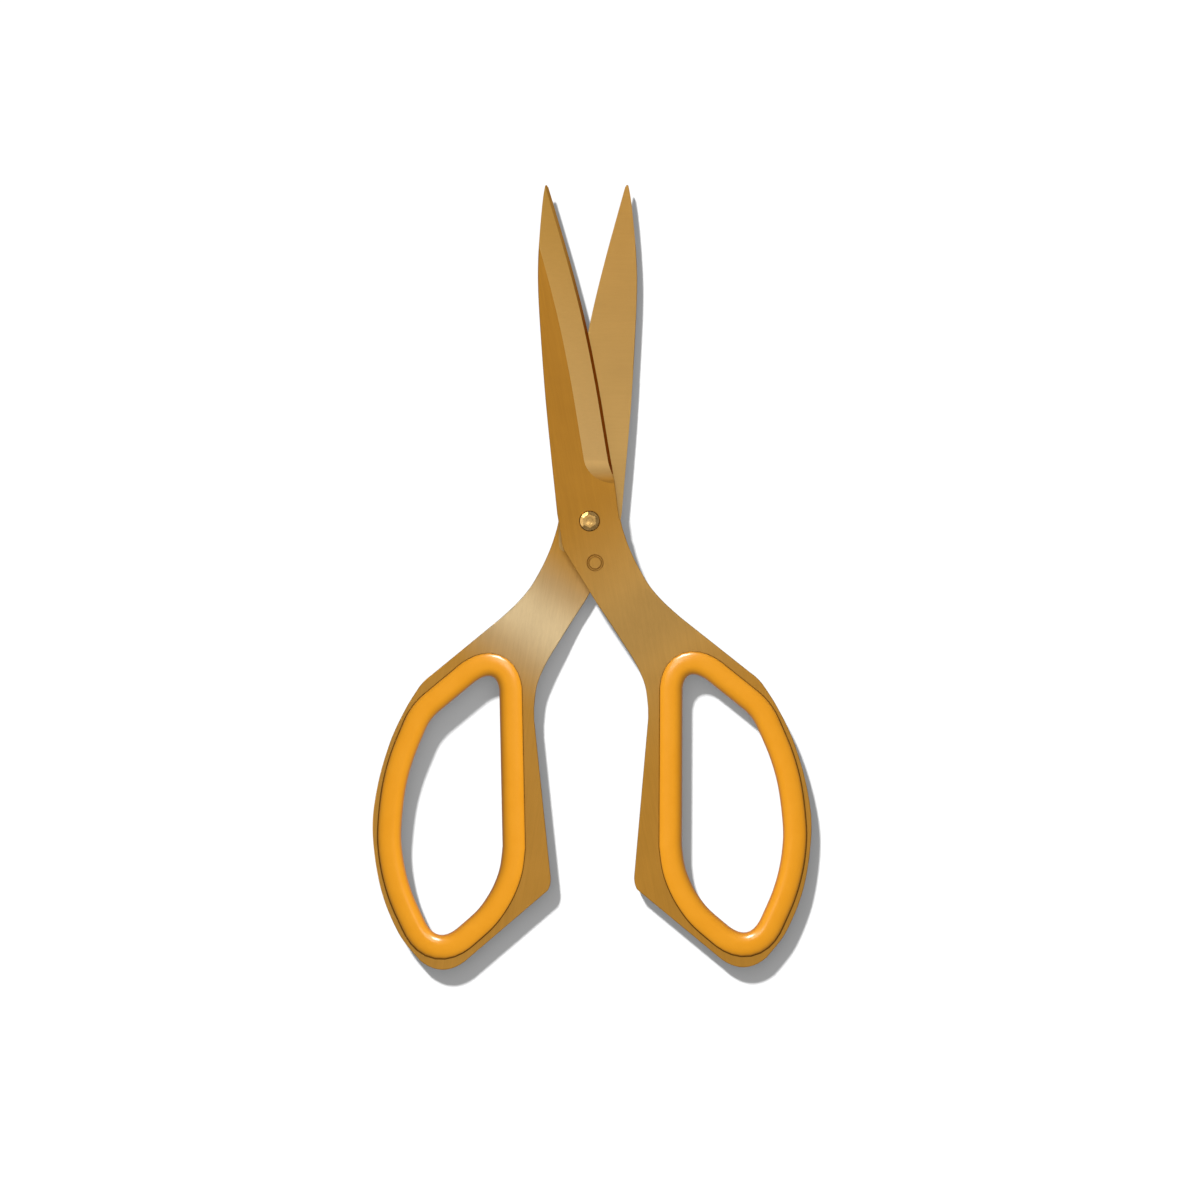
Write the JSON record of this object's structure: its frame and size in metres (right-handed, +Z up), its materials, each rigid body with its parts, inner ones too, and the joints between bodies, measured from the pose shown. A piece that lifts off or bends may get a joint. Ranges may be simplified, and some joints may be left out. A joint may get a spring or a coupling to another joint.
{
  "type": "office scissors",
  "caption": "All-metal office scissors with broad pointed blades, a post-and-screw pivot and large angular finger loops lined with soft silicone grips.",
  "frame": {"origin": "on the pivot axis, at the flat face of the head of the pivot post, which is level with the lower faces of both grips: the table that the scissors lie on", "axes": "+Y towards the tips, +Z up along the pivot axis towards the visible screw, +X towards the loop of the front half"},
  "size_m": [0.1176, 0.2101, 0.0068],
  "materials": {
    "gold_steel": "brushed, gold-coloured coating",
    "orange_silicone": "satin silicone",
    "pivot_steel": "polished, gold-coloured coating",
    "washer_brass": "plain",
    "spring_steel": "plain"
  },
  "bodies": {
    "rear": {"rear_half": "gold_steel", "rear_grip": "orange_silicone", "pivot_post": "pivot_steel", "pivot_screw": "pivot_steel", "friction_washer": "washer_brass", "spring_washer": "spring_steel"},
    "front": {"front_half": "gold_steel", "front_grip": "orange_silicone"}
  },
  "joints": [
    {"name": "pivot", "type": "hinge", "parent": "rear", "child": "front", "pos_m": [0, 0, 0.0034], "axis": [0, 0, 1], "range_deg": [-13.2, 115]}
  ]
}
